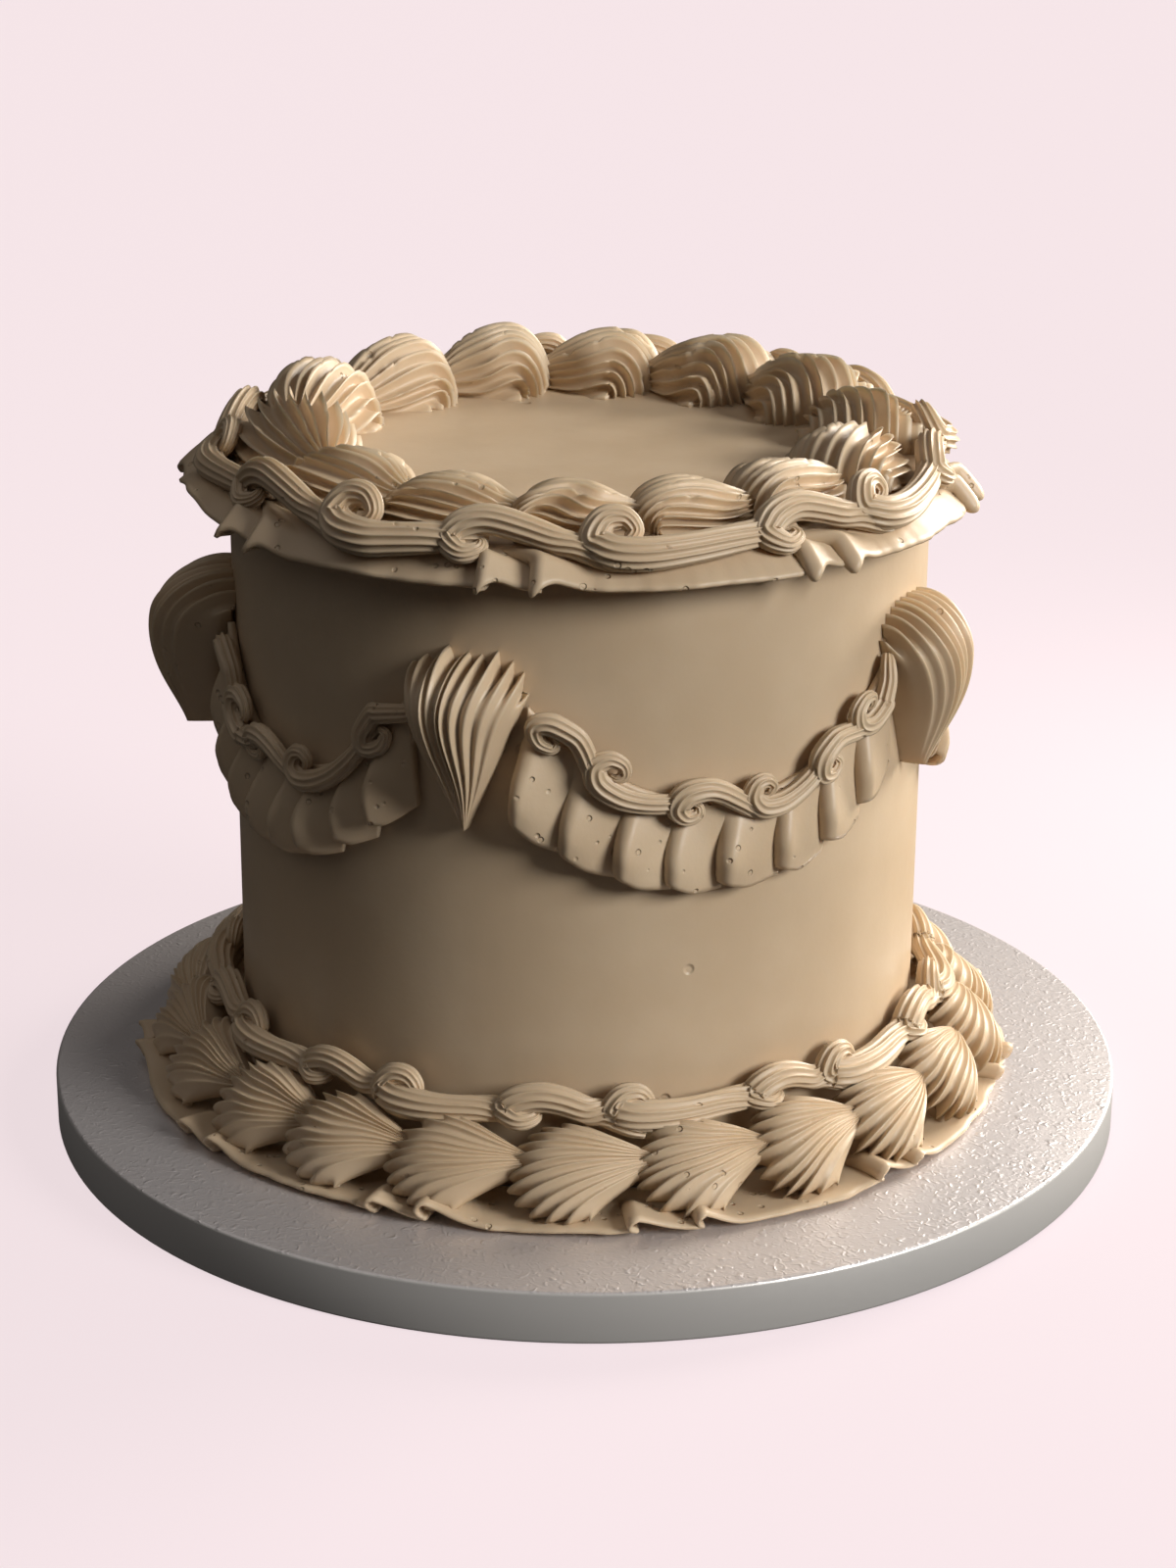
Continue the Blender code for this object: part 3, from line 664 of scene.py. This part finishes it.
def foldOver(angle, folds, ring):   # how far along and up a ribbon's edge is carried, and where it spills over
    shift, rise, longer = np.zeros_like(angle), np.zeros_like(angle), np.zeros_like(angle)
    for start, width, up in folds:
        tau = ((angle - start + 180) % 360 - 180) * math.radians(ring) / width
        inside = (tau > 0) & (tau < 1)
        back, lifted = foldPath(np.where(inside, tau, 0), 0.17, 0.36, 1.7)
        shift += np.where(inside, back * width, 0)
        rise += np.where(inside, lifted * up, 0)
        longer += np.where(inside, np.exp(-(((tau - 0.27) / 0.17) ** 2)), 0)
    return np.degrees(shift / ring), rise, longer


topRuffle = {
    "reach": 89.0, "edge": boardTop + 139.2, "root": (79.8, 157.2), "ring": 88, "thick": (1.96, 0.77),
    "pairs": (-65.5, -19.5, 25, 71, 116, 161, 206, 251), "apart": 7.2, "fold": 10.8, "rise": 4.2, "lean": 12.0,
    "spill": 3.4, "uneven": (0.5, (0.85, 1.1), (0.85, 1.1)), "rows": 16, "columns": 2200,
}


def makeTopRuffle():
    print("piping the rim ruffle")
    angle = np.linspace(-180, 180, topRuffle["columns"] + 1)
    turn = np.radians(angle)
    across, on = np.cos(turn), np.sin(turn)
    shift, rise, longer = foldOver(angle, pairedFolds(31, topRuffle), topRuffle["ring"])
    lean = np.degrees(topRuffle["lean"] / topRuffle["ring"])
    lifted = np.exp(-(((angle + 81) / 13) ** 2))   # the margin curls up at the far left
    ragged = 0.4 * wobble(41, 9 * across, 9 * on, 2.2) + 0.22 * wobble(42, 60 * across, 60 * on)
    reach = topRuffle["reach"] + 0.8 * np.sin(3 * turn + 0.8) + 1.4 * lifted + ragged
    edge = topRuffle["edge"] + 0.6 * np.sin(2 * turn + 1.0) + 5.5 * lifted + 0.3 * wobble(43, 5 * across, 5 * on, 2.0)
    rootRadius, rootHeight = topRuffle["root"]
    q = np.linspace(0, 1, topRuffle["rows"])
    rows = []
    for part in q:
        grow = smooth((part + 0.05) / 0.6)
        spill = topRuffle["spill"] * longer * part ** 3
        radius = rootRadius + (reach - rootRadius) * part + rise * grow * 0.42 + spill * 0.5
        height = rootHeight + (edge - rootHeight) * part ** 1.15 + rise * grow * 0.8 - spill
        rows.append(aroundCake(angle + (shift + lean) * grow, radius, height))
    pipeRuffle("rim_ruffle", "top_ruffle", rows, q, topRuffle["thick"])


baseRuffle = {
    "reach": 103.4, "root": 84.0, "above": 1.15, "ring": 100, "thick": (1.69, 0.455),
    "pairs": (-60, -27, 6, 39, 75, 106, 140, 173, 205, 237, 269), "apart": 7.0, "fold": 10.5, "rise": 3.8, "lean": 3.5,
    "spill": 1.8, "uneven": (0.6, (0.8, 1.15), (0.75, 1.1)), "rows": 16, "columns": 2400,
}


def makeBaseRuffle():
    print("piping the foot ruffle")
    angle = np.linspace(-180, 180, baseRuffle["columns"] + 1)
    turn = np.radians(angle)
    across, on = np.cos(turn), np.sin(turn)
    shift, rise, longer = foldOver(angle, pairedFolds(51, baseRuffle), baseRuffle["ring"])
    lean = np.degrees(baseRuffle["lean"] / baseRuffle["ring"])
    ragged = 0.6 * wobble(61, 8 * across, 8 * on, 2.0) + 0.25 * wobble(62, 50 * across, 50 * on)
    reach = baseRuffle["reach"] + 1.1 * np.sin(4 * turn) + ragged
    wave = np.maximum(0.4 + 0.4 * wobble(63, 6 * across, 6 * on, 2.0), 0)
    q = np.linspace(0, 1, baseRuffle["rows"])
    rows = []
    for part in q:
        grow = smooth((part - 0.15) / 0.6)
        radius = baseRuffle["root"] + (reach - baseRuffle["root"]) * part + baseRuffle["spill"] * longer * part ** 3
        height = boardTop + baseRuffle["above"] + (wave + rise) * grow
        rows.append(aroundCake(angle + (shift + lean) * grow, radius, height))
    pipeRuffle("foot_ruffle", "base_ruffle", rows, q, baseRuffle["thick"])


makeTopRuffle()
makeBaseRuffle()


# ---- swags

swag = {
    "end": 9.3, "low": boardTop + 89.5, "rise": 22.0, "drop": (17.5, 22.0), "pleats": 8, "proud": 4.7,
    "thick": (1.65, 0.3),
    "curls": (   # each stroke's start, past the shell that its swag hangs from
        (13.4, 20.5, 27, 39, 53.6), (13.4, 21.5, 34, 45.5, 57.5, 66), (13.4, 22, 34, 46, 57),
        (13.4, 23, 33, 45, 56), (13.4, 22, 35, 46, 57),
    ),
}
swagRope = {
    "size": 0.8, "curl": 1.05, "ridges": 10, "depth": 0.26, "foot": 1.6, "over": 1.0, "tuck": 1.0, "rows": 84,
}


def swagLine(angle, start, end):
    share = np.abs(2 * (angle - start) / (end - start) - 1)
    return swag["low"] + swag["rise"] * share ** 2.2


def makeSwagRuffle(k, start, end):
    dice = np.random.default_rng(800 + k)
    pleats = swag["pleats"]
    widths = dice.uniform(0.84, 1.16, pleats)
    widths /= widths.sum()
    stands = dice.uniform(0.8, 1.12, pleats)
    tau = np.linspace(0, 1, 36, endpoint=False)
    back, lifted = foldPath(tau, 0.13, 0.32, 1.1)
    begun = np.concatenate([[0], np.cumsum(widths)[:-1]])
    share = np.append((begun[:, None] + tau * widths[:, None]).ravel(), 1.0)
    carried = np.append((back * widths[:, None]).ravel(), 0.0)
    proud = np.append(((0.06 + 0.94 * lifted) * stands[:, None]).ravel(), 0.06)
    corner = np.append(np.tile(0.7 * np.exp(-((tau / 0.42) ** 4)), pleats), 0.0)
    angle = start + (end - start) * share
    top = swagLine(angle, start, end) + 0.4
    drop = swag["drop"][0] + (swag["drop"][1] - swag["drop"][0]) * (2 * share - 1) ** 2
    hem = drop + 2.6 - 3.4 * corner + 0.35 * wobble(810 + k, share * 30, 0 * share)
    q = np.linspace(0, 1, 18)
    rows = []
    for part in q:
        flare = smooth(part / 0.75)
        off = 1.0 + swag["proud"] * proud * flare * (1 - 0.18 * smooth((part - 0.75) / 0.25)) + 0.5 * part
        off = off + 0.25 * wobble(820 + k, share * 16, part * 3 + 0 * share)
        lean = 1.5 * (2 * share - 1) * part + carried * (end - start) * flare
        rows.append(aroundCake(angle + lean, cakeRadius + off, top - hem * part))
    points = ribbon(np.array(rows), q, swag["thick"])
    first, last = (np.tile(end.mean(axis=0), (len(points), 1, 1)) for end in (points[:, 0], points[:, -1]))
    points = np.concatenate([first, points, last], axis=1)
    standsFor(layOut(f"swag_frill_{k + 1}", points, ruffleLook), f"swag_ruffle_{k + 1}")


def makeSwagRope(k, start, end, curls):

    def chart(begin, along, up, off):   # up is square to the swag's line
        angle = begin + np.degrees(along / cakeRadius)
        ahead, behind = swagLine(angle + 0.5, start, end), swagLine(angle - 0.5, start, end)
        slope = (ahead - behind) / (cakeRadius * math.radians(1.0))
        up = up / np.hypot(1.0, slope)
        back = np.degrees(up * slope / cakeRadius)
        return aroundCake(angle - back, cakeRadius + off, swagLine(angle, start, end) + up)

    name = f"swag_rope_{k + 1}"
    pipeRope(name, f"swag_scroll_{k + 1}", 900 + 10 * k, swagRope, [*curls, end], cakeRadius, chart)


def makeSwags():
    print("hanging the swags")
    angles = dropShell["angles"]
    for k, angle in enumerate(angles):
        following = angles[k + 1] if k + 1 < len(angles) else angles[0] + 360
        start, end = angle + swag["end"], following - swag["end"]
        makeSwagRuffle(k, start, end)
        makeSwagRope(k, start, end, [angle + turn for turn in swag["curls"][k]])


makeSwags()


# ---- floor, light and camera

print("setting the table, the light and the camera")


def makeStage():
    deselectAll()
    bpy.ops.mesh.primitive_plane_add(size=16, location=(0, 3, -0.0002))
    floor = bpy.context.active_object
    floor.name = "floor"
    floor.visible_diffuse = False   # so that the shaded side stays as dark as on a dark table
    floor.visible_glossy = False
    paint = Paint("pale_floor")
    paint.feed("Base Color", (0.15, 0.13, 0.135, 1))
    paint.feed("Roughness", 0.9)
    paint.feed("Specular IOR Level", 0.05)
    paint.feed("Emission Color", (1.0, 0.86, 0.89, 1))
    paint.feed("Emission Strength", 0.80)
    floor.data.materials.append(paint.material)


lights = {   # azimuth from the front, elevation, strength, softness in degrees, colour
    "window": (58, 25, 2.75, 24, (1.0, 0.985, 0.955)),
    "far_window": (132, 20, 2.1, 24, (1.0, 0.935, 0.85)),
    "ceiling": (-70, 70, 0.42, 90, (1.0, 0.95, 0.92)),
}
nearWindow = {   # close by on the right, so that the board grows brighter that way
    "watts": 1.45, "size": 0.2, "place": (0.34, 0.19, 0.22), "turn": (0, 60, 29), "colour": (1.0, 0.95, 0.88),
}
roomLight = {"colour": (1.0, 0.95, 0.93, 1), "strength": 0.03}


def makeLight():
    for name, (azimuth, elevation, strength, soft, colour) in lights.items():
        light = bpy.data.lights.new(name, "SUN")
        light.energy = strength
        light.angle = math.radians(soft)
        light.color = colour
        lamp = bpy.data.objects.new(name, light)
        lamp.rotation_euler = (math.radians(90 - elevation), 0, math.radians(azimuth))
        bpy.context.scene.collection.objects.link(lamp)
    pane = bpy.data.lights.new("near_window", "AREA")
    pane.energy = nearWindow["watts"]
    pane.size = nearWindow["size"]
    pane.color = nearWindow["colour"]
    lamp = bpy.data.objects.new("near_window", pane)
    lamp.location = nearWindow["place"]
    lamp.rotation_euler = [math.radians(turn) for turn in nearWindow["turn"]]
    bpy.context.scene.collection.objects.link(lamp)
    world = bpy.data.worlds.new("studio")
    world.use_nodes = True
    sky = world.node_tree.nodes["Background"]
    sky.inputs["Color"].default_value = roomLight["colour"]
    sky.inputs["Strength"].default_value = roomLight["strength"]
    bpy.context.scene.world = world


def makeCamera():
    lens = bpy.data.cameras.new("camera")
    lens.sensor_fit = "VERTICAL"
    lens.sensor_height = 36
    lens.lens = 74.76
    lens.clip_end = 50
    camera = bpy.data.objects.new("camera", lens)
    yaw, pitch, roll = math.radians(-0.073), math.radians(19.868), math.radians(0.376)
    forward = np.array([math.sin(yaw) * math.cos(pitch), math.cos(yaw) * math.cos(pitch), -math.sin(pitch)])
    level = np.array([math.cos(yaw), -math.sin(yaw), 0.0])
    upright = np.cross(level, forward)
    right = math.cos(roll) * level + math.sin(roll) * upright
    up = -math.sin(roll) * level + math.cos(roll) * upright
    place = Matrix.Identity(4)
    for row in range(3):
        place[row][0], place[row][1], place[row][2] = right[row], up[row], -forward[row]
    place[0][3], place[1][3], place[2][3] = 0.00121, -0.72297, 0.33917
    camera.matrix_world = place
    bpy.context.scene.collection.objects.link(camera)
    bpy.context.scene.camera = camera


makeStage()
makeLight()
makeCamera()
bpy.context.scene.view_settings.view_transform = "Standard"

print("finished")
